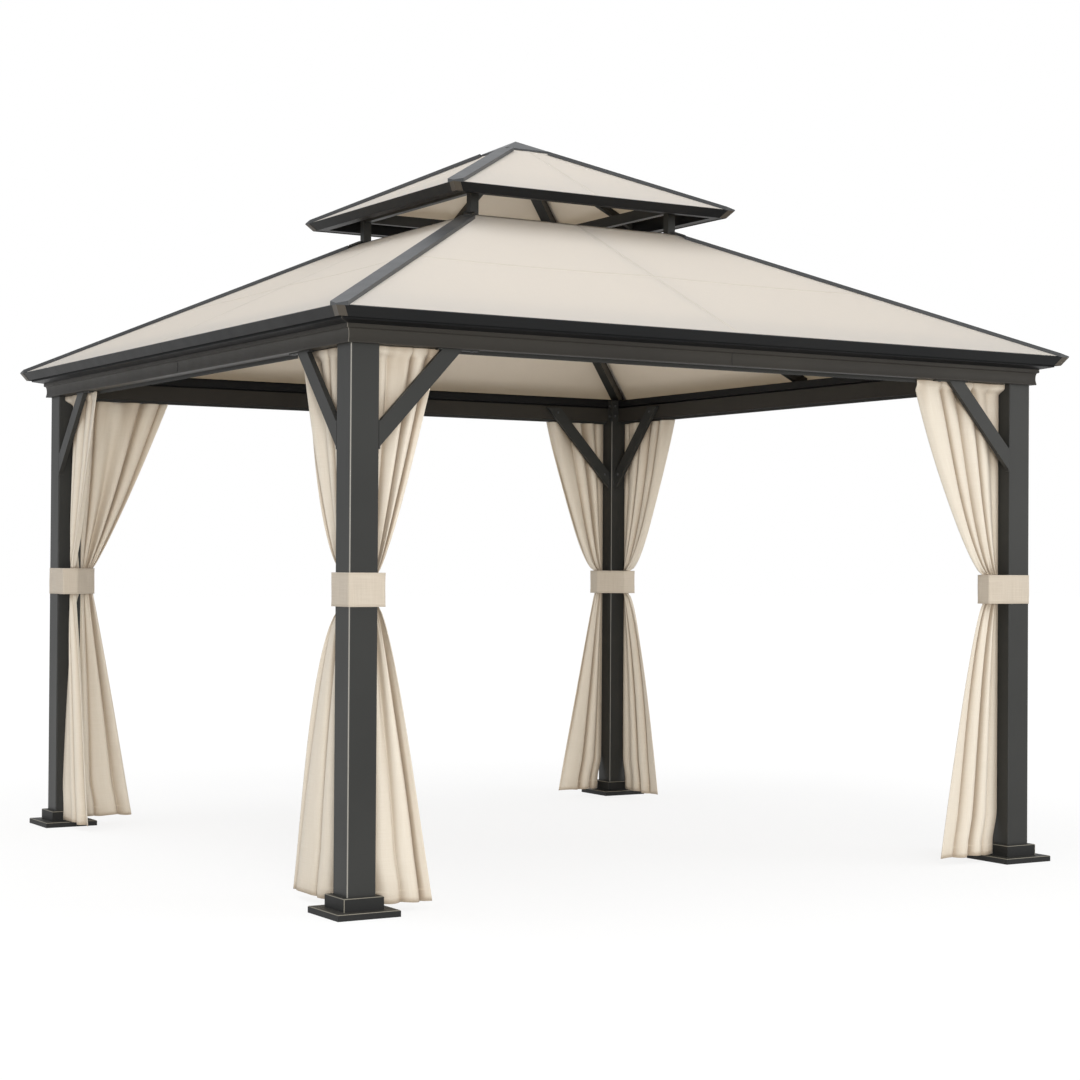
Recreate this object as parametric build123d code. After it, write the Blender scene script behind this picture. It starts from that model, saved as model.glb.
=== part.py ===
from build123d import *
import os
from math import sqrt

# Square metal gazebo: four tube posts on covered feet, profiled beams, a roof in two tiers
# with a vent gap between them, flat knee braces and eight curtains tied back to the posts.
# Lengths are millimetres. X and Y run along the sides and Z is up. The origin is the
# centre of the plan on the floor.

# Driving dimensions of the plan, the posts and the feet
POST_FACE = 1565.0
POST = 110.0
POST_CORNER_RADIUS = 4.0
TUBE_WALL = 2.5
BEAM_BOTTOM = 1970.0
FOOT_PLATE = 200.0
FOOT_PLATE_THICK = 6.0
FOOT_PLATE_RADIUS = 12.0
COVER = 240.0
COVER_HEIGHT = 23.0
COVER_CHAMFER = 2.5
COLLAR = 153.0
COLLAR_HEIGHT = 45.0
COLLAR_CHAMFER = 2.0
COVER_WALL = 3.0
TONGUE_DROP = 120.0
CONNECTOR_WALL = 3.0
CONNECTOR_LID = 6.0

# Beams and eaves, with offsets measured outward from the posts' outer face
BEAM_INNER = -70.0
BEAM_OUTER = 20.0
BEAM_BEAD = 28.0
BEAM_COVE = 3.0
BEAM_LIP = 4.0
BEAD_BOTTOM = 47.0
BEAM_HEIGHT = 70.0
EAVE_REACH = 111.0
EAVE_TOP = 2083.0
RAIL_TOP = 2082.0
LEDGE = 60.0
EAVE_WALL = 2.0
FASCIA_FOOT = (88.0, 9.0)
TRIM_TAIL = 1.6
TRIM_WIDTH = 46.0

# Eave outline under the fascia and the hollow inside: (offset, height above the beam's top)
EAVE_TRIM = [(-50, 8), (-50, 0), (28, 0), (28, -6), (71, 3), (71, 13), (84, 13), FASCIA_FOOT]
EAVE_HOLLOW = [(-68, 10), (-48, 10), (-48, 2), (58, 2), (64, 15), (89, 15)]
EAVE_NOSE = 100.0

# Roof tiers, with half widths measured from the centre
VENT_HALF = 505.0
VENT_TOP = 2642.0
UPPER_HALF = 688.0
UPPER_EDGE = 2735.0
UPPER_INNER = 612.0
PANEL_THICK = 7.0
PANEL_LAP = 8.0
UPPER_PANEL_LAP = 7.0

# Upper eave outline under the fascia and the hollow inside: (half width, height)
UPPER_FASCIA_FOOT = (661.0, 2703.0)
UPPER_TRIM = [(UPPER_INNER, 2706), (657, 2706), UPPER_FASCIA_FOOT]
UPPER_HOLLOW = [(UPPER_INNER + 2, 2708), (662, 2708), (677, 2728)]

# Rafters as (width, depth), caps and the vent frame
HIP_RAFTER = (40.0, 60.0)
HIP_RAFTER_HALVES = (1600.0, 465.0)
MID_RAFTER = (30.0, 50.0)
MID_RAFTER_FOOT = 1610.0
UPPER_HIP_RAFTER = (45.0, 50.0)
UPPER_MID_RAFTER = (24.0, 30.0)
HIP_CAP_WIDTH = 65.0
HIP_CAP_RISE = 5.0
HIP_CAP_DEPTH = 30.0
APEX_CAP_HALF = 108.5
APEX_CAP_EDGE = 8.0
APEX_HOLE = 30.0
HUB = 92.0
HUB_HEIGHT = 60.0
RING_WIDTH = 30.0
RING_HEIGHT = 77.0
VENT_POST = 36.0
VENT_WALL = 2.0
VENT_RAIL = (28.0, 45.0)
VENT_RAIL_BOTTOM = 2733.0
VENT_FOOT_LENGTH = 34.0
VENT_FOOT_INSET = 6.0
VENT_FOOT_THICK = 9.0

# Knee braces in side view: distance from the posts' outer face, and drop below the beam
BRACE_TOP_NEAR = 360.0
BRACE_TOP_FAR = 439.0
BRACE_DROP_NEAR = 270.0
BRACE_DROP_FAR = 357.0
BRACE_THICK = 20.0
BRACE_PLATE = 5.0
BRACE_PLATE_DEPTH = 22.0
BRACE_FLANGE_START = 340.0
BRACE_FLANGE_END = 505.0
BRACE_PLATE_DROPS = (262.0, 362.0)
BRACE_LAP = 60.0

# Curtains, their rails and the tie bands
RAIL_SIZE = (14.0, 12.0)
RAIL_WALL = 1.5
RAIL_DEPTH = 45.0
CURTAIN_DEPTHS = (25.0, 66.0)
CURTAIN_HEM = 27.0
CURTAIN_BULGE = (0.54, 0.46)
CURTAIN_CLEARANCE = (2.0, 4.0)
TIE_BOTTOM = 1062.0
TIE_HEIGHT = 120.0
TIE_THICK = 3.0

# Reach of each post's tie band from the post's outer faces
TIE_REACH = {"front": 138.0, "right": 218.0, "back": 168.0, "left": 190.0}

SIDES = ["front_right", "back_right", "back_left", "front_left"]
CORNERS = ["front", "right", "back", "left"]

# Posts with a second pair of braces inside the curtains
DOUBLE_BRACED = ["back"]

# Reach of each curtain from its post's outer face, at the rail and at the hem
CURTAIN_REACH = {
    ("front_right", "front"): (410.0, 345.0),
    ("front_right", "right"): (585.0, 440.0),
    ("back_right", "right"): (520.0, 430.0),
    ("back_right", "back"): (585.0, 470.0),
    ("back_left", "back"): (475.0, 375.0),
    ("back_left", "left"): (555.0, 400.0),
    ("front_left", "left"): (530.0, 430.0),
    ("front_left", "front"): (500.0, 545.0),
}

# Worked-out values
REACH = POST_FACE + 400.0
EAVE_HALF = POST_FACE + EAVE_REACH
PITCH = (VENT_TOP - EAVE_TOP) / (EAVE_HALF - VENT_HALF)
PANEL_DROP = PANEL_THICK * sqrt(1 + PITCH * PITCH)
BEAM_TOP = BEAM_BOTTOM + BEAM_HEIGHT
APEX = UPPER_EDGE + UPPER_HALF * PITCH
COVER_TOP = COVER_HEIGHT + COLLAR_HEIGHT


def lower_roof(half):
    """Height of the lower roof's top face at a half width."""
    return EAVE_TOP + (EAVE_HALF - half) * PITCH


def upper_roof(half):
    """Height of the upper roof's top face at a half width."""
    return UPPER_EDGE + (UPPER_HALF - half) * PITCH


def quarter_turned(shape, turns):
    """Turn a shape made for the front side or corner to another side or corner."""
    return Rot(0, 0, 90 * turns) * shape


def box_between(low, high):
    """Box given by two opposite corners."""
    sizes = [b - a for a, b in zip(low, high)]
    middle = [(a + b) / 2 for a, b in zip(low, high)]
    return Pos(*middle) * Box(*sizes)


def block(half, bottom, top):
    """Square block round the plan's centre."""
    return box_between((-half, -half, bottom), (half, half, top))


def polygon(points):
    """Flat face through a list of points."""
    return make_face(Polyline(*points, close=True))


# Working planes. The first looks along a side, so that its X is the distance from the
# centre. The second stands on the diagonal through the front corner.
SIDE_PLANE = Plane((0, 0, 0), x_dir=(0, -1, 0), z_dir=(-1, 0, 0))
HIP_PLANE = Plane((0, 0, 0), x_dir=(-1, -1, 0), z_dir=(-1, 1, 0))
MITRE = extrude(polygon([(0, 0), (-REACH, -REACH), (REACH, -REACH)]), amount=4000)


def side_member(face):
    """Run a cross-section along the front right side and mitre both ends."""
    run = extrude(SIDE_PLANE * face, amount=REACH, both=True)
    return run & MITRE


def hollow(face, wall):
    """Cross-section of a closed tube with the outline of a face."""
    return face - offset(face, amount=-wall, kind=Kind.INTERSECTION)


def square_ring(face):
    """Four mitred members joined to one square frame."""
    member = side_member(face)
    ring = member
    for turns in range(1, 4):
        ring += quarter_turned(member, turns)
    return ring


def hip_bar(points, width):
    """Bar that stands on the front diagonal, from (half width, height) points."""
    face = polygon([(half * sqrt(2), height) for half, height in points])
    return extrude(HIP_PLANE * face, amount=width / 2, both=True)


def side_bar(points, width):
    """Bar on the front side's centre line, from (distance, height) points."""
    return extrude(SIDE_PLANE * polygon(points), amount=width / 2, both=True)


def tier_bulk(roof, outer_half, inner_half, bottom):
    """Solid under the top faces of a roof tier, from a level bottom up to an inner half width."""
    return square_ring(polygon([
        (0, bottom),
        (outer_half, bottom),
        (outer_half, roof(outer_half)),
        (inner_half, roof(inner_half)),
        (0, roof(inner_half)),
    ]))


def all_corners(shape):
    """The four copies of a corner piece."""
    return [quarter_turned(shape, turns) for turns in range(4)]


# Solids under the top faces of the two tiers, used to trim what lies on them
SKIRT = 100.0
LOWER_BULK = tier_bulk(lower_roof, EAVE_HALF + SKIRT, VENT_HALF, EAVE_TOP - 2 * SKIRT)
UPPER_BULK = tier_bulk(upper_roof, UPPER_HALF + SKIRT, 1.0, UPPER_EDGE - 2 * SKIRT)


def post():
    """Front post: a square tube welded on a foot plate."""
    centre = Pos(-POST_FACE + POST / 2, -POST_FACE + POST / 2, 0)
    inner = POST - 2 * TUBE_WALL
    outline = RectangleRounded(POST, POST, POST_CORNER_RADIUS)
    outline -= RectangleRounded(inner, inner, POST_CORNER_RADIUS - TUBE_WALL)
    tube = Pos(0, 0, FOOT_PLATE_THICK) * extrude(outline, amount=BEAM_BOTTOM - FOOT_PLATE_THICK)
    plate = RectangleRounded(FOOT_PLATE, FOOT_PLATE, FOOT_PLATE_RADIUS)
    foot = extrude(plate, amount=FOOT_PLATE_THICK)
    return centre * (tube + foot)


def base_cover():
    """Pressed cover over the front post's foot: a low tray and a collar round the tube."""
    centre = Pos(-POST_FACE + POST / 2, -POST_FACE + POST / 2, 0)
    tray = extrude(Rectangle(COVER, COVER), amount=COVER_HEIGHT)
    tray = chamfer(tray.faces().sort_by(Axis.Z)[-1].edges(), COVER_CHAMFER)
    collar = Pos(0, 0, COVER_HEIGHT) * extrude(Rectangle(COLLAR, COLLAR), amount=COLLAR_HEIGHT)
    collar = chamfer(collar.faces().sort_by(Axis.Z)[-1].edges(), COLLAR_CHAMFER)
    tray_inside = COVER - 2 * COVER_WALL
    collar_inside = COLLAR - 2 * COVER_WALL
    shell = tray + collar
    shell -= extrude(Rectangle(tray_inside, tray_inside), amount=COVER_HEIGHT - COVER_WALL)
    shell -= extrude(Rectangle(collar_inside, collar_inside), amount=COVER_TOP - COVER_WALL)
    shell -= extrude(RectangleRounded(POST, POST, POST_CORNER_RADIUS), amount=COVER_TOP)
    return centre * shell


def corner_connector():
    """Connector at the front post's top: a socket tongue and the upstand between the beams."""
    centre = -POST_FACE + POST / 2
    wall = CONNECTOR_WALL
    tongue_size = POST - 2 * TUBE_WALL
    radius = POST_CORNER_RADIUS - TUBE_WALL
    outline = RectangleRounded(tongue_size, tongue_size, radius)
    tongue = outline - Rectangle(tongue_size - 2 * wall, tongue_size - 2 * wall)
    tongue = Pos(centre, centre, BEAM_BOTTOM - TONGUE_DROP) * extrude(tongue, amount=TONGUE_DROP)
    lid = Pos(centre, centre, BEAM_BOTTOM - CONNECTOR_LID) * extrude(outline, amount=CONNECTOR_LID)
    inner_edge = -POST_FACE + POST
    beam_edge = -POST_FACE - BEAM_INNER
    upstand = box_between((beam_edge, beam_edge, BEAM_BOTTOM), (inner_edge, inner_edge, RAIL_TOP))
    upstand -= box_between(
        (beam_edge + wall, beam_edge + wall, BEAM_BOTTOM),
        (inner_edge - wall, inner_edge - wall, RAIL_TOP),
    )
    return tongue + lid + upstand


def beam_section():
    """Beam: a box tube whose outer web is slightly coved under a raised bead."""
    bead_bottom = BEAM_BOTTOM + BEAD_BOTTOM
    inner = POST_FACE + BEAM_INNER
    outer = POST_FACE + BEAM_OUTER
    bead = POST_FACE + BEAM_BEAD
    web = ThreePointArc(
        (outer, BEAM_BOTTOM + BEAM_LIP),
        (outer - BEAM_COVE, (BEAM_BOTTOM + bead_bottom) / 2),
        (outer, bead_bottom),
    )
    rest = Polyline(
        (outer, bead_bottom),
        (bead, bead_bottom + BEAM_LIP),
        (bead, BEAM_TOP),
        (inner, BEAM_TOP),
        (inner, BEAM_BOTTOM),
        (outer, BEAM_BOTTOM),
        (outer, BEAM_BOTTOM + BEAM_LIP),
    )
    return hollow(make_face([web, rest]), TUBE_WALL)


def eave_section():
    """Eave: inner rail, soffit, lip and slanted fascia with a ledge for the panels."""
    lap = EAVE_REACH - PANEL_LAP
    lap_top = EAVE_TOP + PANEL_LAP * PITCH
    ledge_top = EAVE_TOP + (EAVE_REACH - LEDGE) * PITCH - PANEL_DROP
    trim = [(out, BEAM_TOP + rise) for out, rise in EAVE_TRIM]
    profile = [
        (BEAM_INNER, trim[0][1]),
        *trim,
        (EAVE_REACH, EAVE_TOP),
        (lap, lap_top),
        (lap, lap_top - PANEL_DROP),
        (LEDGE, ledge_top),
        (LEDGE, RAIL_TOP),
        (BEAM_INNER, RAIL_TOP),
    ]
    nose_top = ledge_top - (EAVE_NOSE - LEDGE) * PITCH
    bore = [
        *[(out, BEAM_TOP + rise) for out, rise in EAVE_HOLLOW],
        (EAVE_NOSE, nose_top - EAVE_WALL),
        (LEDGE + EAVE_WALL, ledge_top - 2 * EAVE_WALL),
        (LEDGE + EAVE_WALL, RAIL_TOP - EAVE_WALL),
        (BEAM_INNER + EAVE_WALL, RAIL_TOP - EAVE_WALL),
    ]
    outline = polygon([(POST_FACE + out, z) for out, z in profile])
    return outline - polygon([(POST_FACE + out, z) for out, z in bore])


def panel_section(roof, outer_half, inner_half):
    """Cross-section of a roof panel between two half widths."""
    return polygon([
        (outer_half, roof(outer_half)),
        (inner_half, roof(inner_half)),
        (inner_half, roof(inner_half) - PANEL_DROP),
        (outer_half, roof(outer_half) - PANEL_DROP),
    ])


def rafter(bar, size, drop, outer, inner, roof, seat=None):
    """Tube under a roof tier, with its lower end cut level on a seat if there is one."""
    width, depth = size
    outline = slope_band(roof, outer, inner, drop, depth)
    inside = slope_band(roof, outer + SKIRT, inner - SKIRT, drop + TUBE_WALL, depth - 2 * TUBE_WALL)
    tube = bar(outline, width) - bar(inside, width - 2 * TUBE_WALL)
    if seat is not None:
        tube -= block(REACH, seat - 2 * depth, seat)
    return tube


def slope_band(roof, outer, inner, drop, depth):
    """Outline that follows the underside of a tier's panels between two half widths."""
    top_out = roof(outer) - PANEL_DROP - drop
    top_in = roof(inner) - PANEL_DROP - drop
    return [(outer, top_out), (inner, top_in), (inner, top_in - depth), (outer, top_out - depth)]


def hip_drop(width):
    """How far a flat top lies under the ridge of two panels that meet on a hip."""
    return PITCH * width / 2 / sqrt(2)


def lower_hip_rafter():
    """Hip rafter under the front corner of the lower tier."""
    drop = hip_drop(HIP_RAFTER[0])
    tube = rafter(hip_bar, HIP_RAFTER, drop, *HIP_RAFTER_HALVES, lower_roof, RAIL_TOP)
    return tube - block(VENT_HALF, VENT_TOP - 2 * SKIRT, VENT_TOP + SKIRT)


def lower_mid_rafter():
    """Rafter at the middle of the front right side."""
    return rafter(side_bar, MID_RAFTER, 0, MID_RAFTER_FOOT, VENT_HALF, lower_roof, RAIL_TOP)


def apex_hub():
    """Block under the apex that takes the upper rafters' ends."""
    top = upper_roof(HUB / 2) - PANEL_DROP
    return block(HUB / 2, top - HUB_HEIGHT, top)


def upper_hip_rafter():
    """Hip rafter from the upper eave's front corner to the hub."""
    drop = hip_drop(UPPER_HIP_RAFTER[0])
    tube = rafter(hip_bar, UPPER_HIP_RAFTER, drop, UPPER_HALF, 0, upper_roof)
    tube &= block(UPPER_INNER, VENT_TOP, APEX)
    return tube - block(HUB / 2, VENT_TOP, APEX)


def upper_mid_rafter():
    """Rafter at the middle of the upper tier's front right side."""
    return rafter(side_bar, UPPER_MID_RAFTER, 0, UPPER_INNER, HUB / 2, upper_roof)


def upper_eave_section():
    """Upper eave: the lower eave's trim at a smaller size, closed by an inner web."""
    lap = UPPER_HALF - UPPER_PANEL_LAP
    web = UPPER_INNER + EAVE_WALL
    outline = polygon([
        *UPPER_TRIM,
        (UPPER_HALF, UPPER_EDGE),
        (lap, upper_roof(lap)),
        (lap, upper_roof(lap) - PANEL_DROP),
        (UPPER_INNER, upper_roof(UPPER_INNER) - PANEL_DROP),
    ])
    bore = polygon([*UPPER_HOLLOW, (web, upper_roof(web) - PANEL_DROP - TUBE_WALL)])
    return outline - bore


def hip_cap(roof, bulk, outer, inner):
    """Flat bar over a hip, shaped underneath to lie on both panels."""
    outer_end = outer + SKIRT / 2
    bar = hip_bar([
        (outer_end, roof(outer_end) + HIP_CAP_RISE),
        (inner, roof(inner) + HIP_CAP_RISE),
        (inner, roof(inner) - HIP_CAP_DEPTH),
        (outer_end, roof(outer_end) - HIP_CAP_DEPTH),
    ], HIP_CAP_WIDTH)
    cap = bar - bulk
    return cap & block(outer + TRIM_TAIL, EAVE_TOP - SKIRT, APEX)


def corner_trim(fascia_foot, fascia_top):
    """Folded tab that covers the mitre of two fascia boards."""
    strip = polygon([
        fascia_foot,
        fascia_top,
        (fascia_top[0] + TRIM_TAIL, fascia_top[1]),
        (fascia_foot[0] + TRIM_TAIL, fascia_foot[1]),
    ])
    side = side_member(strip)
    both = side + quarter_turned(side, 3)
    low = fascia_foot[1] - SKIRT
    high = fascia_top[1] + SKIRT
    slab = hip_bar([(REACH, low), (0, low), (0, high), (REACH, high)], TRIM_WIDTH)
    return both & slab


def vent_post():
    """Short tube at the front corner of the vent, with the foot that holds it on the hip."""
    centre = -VENT_HALF + VENT_POST / 2
    inside = VENT_POST - 2 * VENT_WALL
    outline = Rectangle(VENT_POST, VENT_POST) - Rectangle(inside, inside)
    tube = Pos(centre, centre, VENT_TOP) * extrude(outline, amount=UPPER_EDGE - VENT_TOP + SKIRT)
    start = VENT_HALF - VENT_FOOT_INSET
    end = VENT_HALF + VENT_FOOT_LENGTH
    foot = hip_bar([
        (start, VENT_TOP),
        (VENT_HALF, VENT_TOP),
        (end, lower_roof(end)),
        (end, lower_roof(end) + VENT_FOOT_THICK),
        (VENT_HALF, VENT_TOP + VENT_FOOT_THICK),
        (start, VENT_TOP + VENT_FOOT_THICK),
    ], VENT_POST)
    return (tube - above_hip_rafter(4 * VENT_POST)) + foot


def above_hip_rafter(width):
    """Solid over the upper hip rafter's underside near the vent's front corner."""
    drop = hip_drop(UPPER_HIP_RAFTER[0]) + UPPER_HIP_RAFTER[1]
    outer = VENT_HALF + SKIRT
    inner = VENT_HALF - SKIRT
    return hip_bar(slope_band(upper_roof, outer, inner, drop, -2 * SKIRT), width)


def vent_rail():
    """Tube between two vent posts on the front right side, cut round the hip rafters."""
    width, height = VENT_RAIL
    outer = VENT_HALF - (VENT_POST - width) / 2
    tube = polygon([
        (outer, VENT_RAIL_BOTTOM),
        (outer, VENT_RAIL_BOTTOM + height),
        (outer - width, VENT_RAIL_BOTTOM + height),
        (outer - width, VENT_RAIL_BOTTOM),
    ])
    rail = extrude(SIDE_PLANE * hollow(tube, VENT_WALL), amount=VENT_HALF - VENT_POST, both=True)
    rafter_space = above_hip_rafter(UPPER_HIP_RAFTER[0])
    return rail - rafter_space - quarter_turned(rafter_space, 1)


def apex_cap():
    """Low pyramid over the apex, with a thin upright edge."""
    outline = polygon([
        (0, APEX),
        (APEX_CAP_HALF, upper_roof(APEX_CAP_HALF)),
        (APEX_CAP_HALF, upper_roof(APEX_CAP_HALF) + APEX_CAP_EDGE),
        (0, APEX + APEX_CAP_EDGE),
    ])
    return square_ring(outline)


def elevation(points, near, far):
    """Solid from (distance, height) points beside the front post, between two depths."""
    plane = Plane((-POST_FACE, -POST_FACE + far, 0), x_dir=(1, 0, 0), z_dir=(0, -1, 0))
    return extrude(plane * polygon(points), amount=far - near)


def outer_brace():
    """Flat knee brace flush with the post, between a plate on the post and one on the beam."""
    near_slope = BRACE_DROP_NEAR / (BRACE_TOP_NEAR - POST)
    far_slope = BRACE_DROP_FAR / (BRACE_TOP_FAR - POST)
    head = BEAM_BOTTOM - BRACE_PLATE
    heel = POST + BRACE_PLATE
    bar = elevation([
        (heel, head - far_slope * (BRACE_TOP_FAR - heel) + BRACE_PLATE),
        (BRACE_TOP_FAR - BRACE_PLATE / far_slope, head),
        (BRACE_TOP_NEAR - BRACE_PLATE / near_slope, head),
        (heel, head - near_slope * (BRACE_TOP_NEAR - heel) + BRACE_PLATE),
    ], 0, BRACE_THICK)
    flange = elevation([
        (BRACE_FLANGE_START, head),
        (BRACE_FLANGE_END, head),
        (BRACE_FLANGE_END, BEAM_BOTTOM),
        (BRACE_FLANGE_START, BEAM_BOTTOM),
    ], 0, BRACE_PLATE_DEPTH)
    plate_high, plate_low = [BEAM_BOTTOM - drop for drop in BRACE_PLATE_DROPS]
    plate = elevation([
        (POST, plate_low),
        (heel, plate_low),
        (heel, plate_high),
        (POST, plate_high),
    ], 0, BRACE_PLATE_DEPTH)
    return bar + flange + plate


def inner_brace():
    """Second flat brace, lapped on the beam's inner face and cut upright at the post."""
    near_slope = BRACE_DROP_NEAR / (BRACE_TOP_NEAR - POST)
    far_slope = BRACE_DROP_FAR / (BRACE_TOP_FAR - POST)
    depth = -BEAM_INNER
    return elevation([
        (POST, BEAM_BOTTOM - BRACE_DROP_FAR),
        (BRACE_TOP_FAR + BRACE_LAP / far_slope, BEAM_BOTTOM + BRACE_LAP),
        (BRACE_TOP_NEAR + BRACE_LAP / near_slope, BEAM_BOTTOM + BRACE_LAP),
        (POST, BEAM_BOTTOM - BRACE_DROP_NEAR),
    ], depth, depth + BRACE_THICK)


def mirrored(shape):
    """Copy of a piece beside the front post on that post's other side."""
    return mirror(shape, about=Plane((0, 0, 0), z_dir=(1, -1, 0)))


def curtain_rail():
    """Channel under the front right beam, open at the bottom."""
    width, height = RAIL_SIZE
    centre = (POST_FACE - RAIL_DEPTH, BEAM_BOTTOM - height / 2)
    face = Pos(*centre) * Rectangle(width, height)
    face -= Pos(centre[0], centre[1] - RAIL_WALL) * Rectangle(width - 2 * RAIL_WALL, height)
    return extrude(SIDE_PLANE * face, amount=POST_FACE - POST, both=True)


def curtain(top_reach, hem_reach, tie_reach):
    """Curtain hung beside the front post and gathered by the tie band."""
    top = BEAM_BOTTOM - RAIL_SIZE[1]
    tie_top = TIE_BOTTOM + TIE_HEIGHT
    out, rise = CURTAIN_BULGE
    upper_edge = ThreePointArc(
        (tie_reach, tie_top),
        (tie_reach + out * (top_reach - tie_reach), tie_top + rise * (top - tie_top)),
        (top_reach, top),
    )
    lower_edge = ThreePointArc(
        (hem_reach, CURTAIN_HEM),
        (tie_reach + out * (hem_reach - tie_reach), TIE_BOTTOM - rise * (TIE_BOTTOM - CURTAIN_HEM)),
        (tie_reach, TIE_BOTTOM),
    )
    past_collar = POST + (COLLAR - POST) / 2 + CURTAIN_CLEARANCE[0]
    over_collar = COVER_TOP + CURTAIN_CLEARANCE[1]
    rest = Polyline(
        (top_reach, top),
        (POST, top),
        (POST, over_collar),
        (past_collar, over_collar),
        (past_collar, CURTAIN_HEM),
        (hem_reach, CURTAIN_HEM),
    )
    side_of_tie = Line((tie_reach, TIE_BOTTOM), (tie_reach, tie_top))
    face = make_face([upper_edge, lower_edge, side_of_tie, rest])
    near, far = CURTAIN_DEPTHS
    plane = Plane((-POST_FACE, -POST_FACE + far, 0), x_dir=(1, 0, 0), z_dir=(0, -1, 0))
    return extrude(plane * face, amount=far - near)


def tie_band(reach):
    """Band round the front post and the two curtains gathered beside it."""
    far = CURTAIN_DEPTHS[1]
    back = [(reach, far), (far, reach)]
    if reach + far < 2 * POST:
        back.insert(1, (POST, POST))
    loop = polygon([(0, 0), (reach, 0), *back, (0, reach)])
    ring = offset(loop, amount=TIE_THICK, kind=Kind.INTERSECTION) - loop
    return Pos(-POST_FACE, -POST_FACE, TIE_BOTTOM) * extrude(ring, amount=TIE_HEIGHT)


def nodes():
    """Every sub-part under the name of its node."""
    made = {}
    lower_panel = side_member(
        panel_section(lower_roof, EAVE_HALF - PANEL_LAP, VENT_HALF)
    )
    upper_panel = side_member(
        panel_section(upper_roof, UPPER_HALF - UPPER_PANEL_LAP, APEX_HOLE)
    )
    beam = side_member(beam_section())
    eave = side_member(eave_section())
    outer_braces = [outer_brace(), mirrored(outer_brace())]
    inner_braces = [inner_brace(), mirrored(inner_brace())]
    foot_end = VENT_HALF + VENT_FOOT_LENGTH
    lower_cap = hip_cap(lower_roof, LOWER_BULK, EAVE_HALF, foot_end)
    foot_out, foot_rise = FASCIA_FOOT
    lower_cap += corner_trim((POST_FACE + foot_out, BEAM_TOP + foot_rise), (EAVE_HALF, EAVE_TOP))
    upper_cap = hip_cap(upper_roof, UPPER_BULK, UPPER_HALF, APEX_CAP_HALF)
    upper_cap += corner_trim(UPPER_FASCIA_FOOT, (UPPER_HALF, UPPER_EDGE))
    for turns in range(4):
        side = SIDES[turns]
        corner = CORNERS[turns]
        made[f"post_{corner}"] = [quarter_turned(post(), turns)]
        braces = outer_braces + inner_braces if corner in DOUBLE_BRACED else outer_braces
        made[f"knee_braces_{corner}"] = [quarter_turned(brace, turns) for brace in braces]
        made[f"beam_{side}"] = [quarter_turned(beam, turns)]
        made[f"eave_{side}"] = [quarter_turned(eave, turns)]
        made[f"lower_panel_{side}"] = [quarter_turned(lower_panel, turns)]
        made[f"upper_panel_{side}"] = [quarter_turned(upper_panel, turns)]
        start = curtain(*CURTAIN_REACH[(side, corner)], TIE_REACH[corner])
        end_corner = CORNERS[(turns + 1) % 4]
        end = mirrored(curtain(*CURTAIN_REACH[(side, end_corner)], TIE_REACH[end_corner]))
        made[f"curtain_{side}_at_{corner}_post"] = [quarter_turned(start, turns)]
        made[f"curtain_{side}_at_{end_corner}_post"] = [quarter_turned(end, turns + 1)]
    made["base_covers"] = all_corners(base_cover())
    made["corner_connectors"] = all_corners(corner_connector())
    made["lower_hip_rafters"] = all_corners(lower_hip_rafter())
    made["lower_mid_rafters"] = all_corners(lower_mid_rafter())
    made["lower_hip_caps"] = all_corners(lower_cap)
    made["upper_hip_caps"] = all_corners(upper_cap)
    made["vent_posts"] = all_corners(vent_post())
    made["vent_rails"] = all_corners(vent_rail())
    made["curtain_rails"] = all_corners(curtain_rail())
    made["tie_bands"] = [
        quarter_turned(tie_band(TIE_REACH[corner]), turns) for turns, corner in enumerate(CORNERS)
    ]
    ring_inner = VENT_HALF - RING_WIDTH
    made["vent_ring"] = [square_ring(hollow(polygon([
        (ring_inner, VENT_TOP - RING_HEIGHT),
        (VENT_HALF, VENT_TOP - RING_HEIGHT),
        (VENT_HALF, VENT_TOP),
        (ring_inner, VENT_TOP),
    ]), TUBE_WALL))]
    made["upper_eave"] = [square_ring(upper_eave_section())]
    made["upper_hip_rafters"] = all_corners(upper_hip_rafter())
    made["upper_mid_rafters"] = all_corners(upper_mid_rafter())
    made["apex_hub"] = [apex_hub()]
    made["apex_cap"] = [apex_cap()]
    return made


os.makedirs("parts", exist_ok=True)
for name, pieces in nodes().items():
    solids = [solid for piece in pieces for solid in piece.solids()]
    shape = solids[0] if len(solids) == 1 else Compound(children=solids)
    shape.label = name
    export_step(shape, f"parts/{name}.step")
    print(name, len(solids), round(sum(solid.volume for solid in solids)))
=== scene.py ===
import logging
import math
from dataclasses import dataclass, field
from enum import Enum
from functools import partial
from typing import Callable

import bpy
import numpy as np
from mathutils import Matrix, Vector


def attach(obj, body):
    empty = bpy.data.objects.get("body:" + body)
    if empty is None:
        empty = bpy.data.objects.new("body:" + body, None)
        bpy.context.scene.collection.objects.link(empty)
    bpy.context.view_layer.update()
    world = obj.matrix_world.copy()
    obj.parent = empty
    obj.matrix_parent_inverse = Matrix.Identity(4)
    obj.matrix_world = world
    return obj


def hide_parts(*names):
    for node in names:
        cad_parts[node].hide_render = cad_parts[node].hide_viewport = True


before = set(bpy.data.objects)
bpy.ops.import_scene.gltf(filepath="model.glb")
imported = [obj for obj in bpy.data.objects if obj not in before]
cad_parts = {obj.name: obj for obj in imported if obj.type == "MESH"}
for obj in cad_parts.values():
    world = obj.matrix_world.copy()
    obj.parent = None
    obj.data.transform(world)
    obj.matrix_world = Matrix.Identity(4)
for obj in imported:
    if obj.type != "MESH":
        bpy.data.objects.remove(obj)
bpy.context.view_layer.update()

LOG = logging.getLogger("gazebo")

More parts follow.
